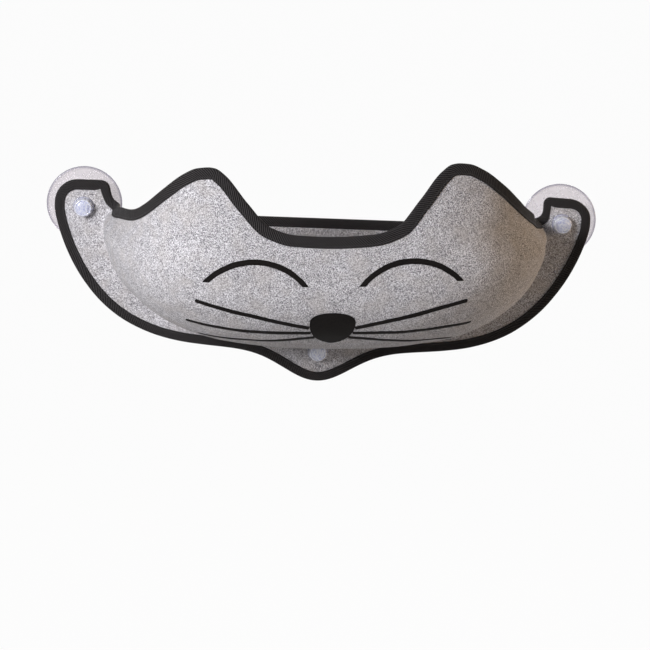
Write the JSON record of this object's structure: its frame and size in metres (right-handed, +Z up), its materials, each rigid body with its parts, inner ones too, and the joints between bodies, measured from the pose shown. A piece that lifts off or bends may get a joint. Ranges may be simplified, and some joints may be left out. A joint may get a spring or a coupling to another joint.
{
  "type": "cat window bed",
  "caption": "Felt pod bed for a cat, shaped like a cat's head with a printed face, bound edges and clear suction cups that hang it on a window.",
  "frame": {"origin": "on the window pane, midway between the two upper suction cups", "axes": "+Y through the pane, away from the bed; +X to the right as seen from the room; +Z up"},
  "size_m": [0.7066, 0.2761, 0.33],
  "materials": {
    "felt": "heathered grey pressed felt",
    "binding_tape": "black ribbed binding tape, sewn",
    "face_print": "black print on the felt",
    "clear_vinyl": "clear soft vinyl, slightly milky",
    "clear_plastic": "clear moulded plastic with a cool tint"
  },
  "bodies": {
    "bed": {"front_shell": "felt", "back_panel": "felt", "rim_binding": "binding_tape", "perimeter_binding": "binding_tape", "back_binding": "binding_tape", "left_eye": "face_print", "right_eye": "face_print", "nose": "face_print", "left_whisker_upper": "face_print", "left_whisker_middle": "face_print", "left_whisker_lower": "face_print", "right_whisker_upper": "face_print", "right_whisker_middle": "face_print", "right_whisker_lower": "face_print", "suction_cup_left": "clear_vinyl", "suction_cup_right": "clear_vinyl", "suction_cup_chin": "clear_vinyl", "stud_left": "clear_vinyl", "stud_right": "clear_vinyl", "stud_chin": "clear_vinyl"},
    "washer_left": {"washer_left": "clear_plastic"},
    "knob_left": {"knob_left": "clear_plastic"},
    "washer_right": {"washer_right": "clear_plastic"},
    "knob_right": {"knob_right": "clear_plastic"},
    "washer_chin": {"washer_chin": "clear_plastic"},
    "knob_chin": {"knob_chin": "clear_plastic"}
  },
  "joints": [
    {"name": "washer_left_slide", "type": "slide", "parent": "bed", "child": "washer_left", "axis": [0, -1, 0], "range_m": [0, 0.006]},
    {"name": "knob_left_turn", "type": "hinge", "parent": "washer_left", "child": "knob_left", "pos_m": [-0.3053, -0.0267, 0], "axis": [0, -1, 0], "range_deg": [0, 1080]},
    {"name": "washer_right_slide", "type": "slide", "parent": "bed", "child": "washer_right", "axis": [0, -1, 0], "range_m": [0, 0.006]},
    {"name": "knob_right_turn", "type": "hinge", "parent": "washer_right", "child": "knob_right", "pos_m": [0.3053, -0.0267, 0], "axis": [0, -1, 0], "range_deg": [0, 1080]},
    {"name": "washer_chin_slide", "type": "slide", "parent": "bed", "child": "washer_chin", "axis": [0, -1, 0], "range_m": [0, 0.006]},
    {"name": "knob_chin_turn", "type": "hinge", "parent": "washer_chin", "child": "knob_chin", "pos_m": [0, -0.0267, -0.1784], "axis": [0, -1, 0], "range_deg": [0, 1080]}
  ],
  "couplings": [
    {"joint": "knob_left_turn", "follows": "washer_left_slide", "rad_per_m": 3141.5},
    {"joint": "knob_right_turn", "follows": "washer_right_slide", "rad_per_m": 3141.5},
    {"joint": "knob_chin_turn", "follows": "washer_chin_slide", "rad_per_m": 3141.5}
  ]
}
